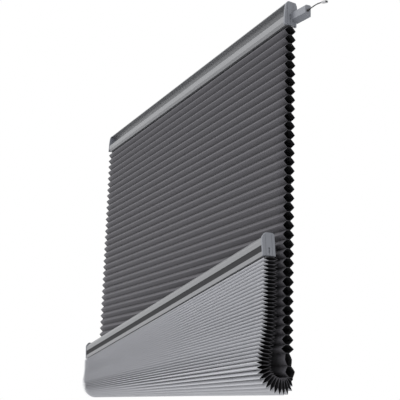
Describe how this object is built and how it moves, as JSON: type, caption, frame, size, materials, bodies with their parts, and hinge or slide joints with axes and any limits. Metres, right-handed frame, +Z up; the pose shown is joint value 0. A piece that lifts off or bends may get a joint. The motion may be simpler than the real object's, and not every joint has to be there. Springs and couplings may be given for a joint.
{
  "type": "honeycomb pleated blind",
  "caption": "Motor-driven honeycomb pleated blind: grey head rail with a power pod at one end, dark double-walled fabric let down and folded back up in front to a flat bottom rail.",
  "frame": {"origin": "middle of the centre bracket's two screw holes, on the wall plane", "axes": "+X along the blind towards the power pod, +Y into the wall, +Z up; the room is on the -Y side"},
  "size_m": [1.3312, 0.0956, 0.8593],
  "materials": {
    "satin_aluminium": "satin grey coated extrusion",
    "grey_plastic": "matt moulded grey",
    "dark_plastic": "matt dark grey",
    "black_rubber": "matt black",
    "pale_plastic": "matt off-white",
    "plated_steel": "zinc plated",
    "motor_tube": "satin black",
    "board_green": "lacquered board",
    "pleated_fabric": "woven, dark on the room side and pale on the window side",
    "cord_black": "braided"
  },
  "bodies": {
    "blind": {"control_board": "board_green", "hanging_fabric": "pleated_fabric", "head_rail": "satin_aluminium", "head_rail_cap_left": "grey_plastic", "head_rail_cap_right": "grey_plastic", "lead": "black_rubber", "lead_connector": "pale_plastic", "lead_gland": "black_rubber", "lift_cord_centre": "cord_black", "lift_cord_left": "cord_black", "lift_cord_right": "cord_black", "motor": "motor_tube", "motor_cable": "black_rubber", "motor_saddle": "dark_plastic", "pod_end_cover": "grey_plastic", "pod_housing": "grey_plastic", "raised_fabric": "pleated_fabric", "spool_cradle_centre": "pale_plastic", "spool_cradle_left": "pale_plastic", "spool_cradle_right": "pale_plastic", "top_fabric_carrier": "dark_plastic", "wall_bracket_centre": "plated_steel", "wall_bracket_left": "plated_steel", "wall_bracket_right": "plated_steel"},
    "lift_shaft": {"drive_shaft": "plated_steel", "spool_left": "pale_plastic", "spool_centre": "pale_plastic", "spool_right": "pale_plastic", "cord_windings": "cord_black", "motor_coupling": "plated_steel"},
    "bottom_rail": {"bottom_rail": "satin_aluminium", "bottom_rail_cap_left": "grey_plastic", "bottom_rail_cap_right": "grey_plastic", "rail_trim_front": "dark_plastic", "rail_trim_back": "dark_plastic", "weight_bar": "plated_steel", "bottom_fabric_carrier": "dark_plastic", "cord_knot_left": "cord_black", "cord_knot_centre": "cord_black", "cord_knot_right": "cord_black"}
  },
  "joints": [
    {"name": "bottom_rail_lift", "type": "slide", "parent": "blind", "child": "bottom_rail", "axis": [0, 0, 1], "range_m": [0, 0.1], "deforming": ["raised_fabric", "lift_cord_left", "lift_cord_centre", "lift_cord_right"]},
    {"name": "lift_shaft_turn", "type": "hinge", "parent": "blind", "child": "lift_shaft", "pos_m": [0, -0.0208, -0.0115], "axis": [1, 0, 0], "continuous": true}
  ]
}
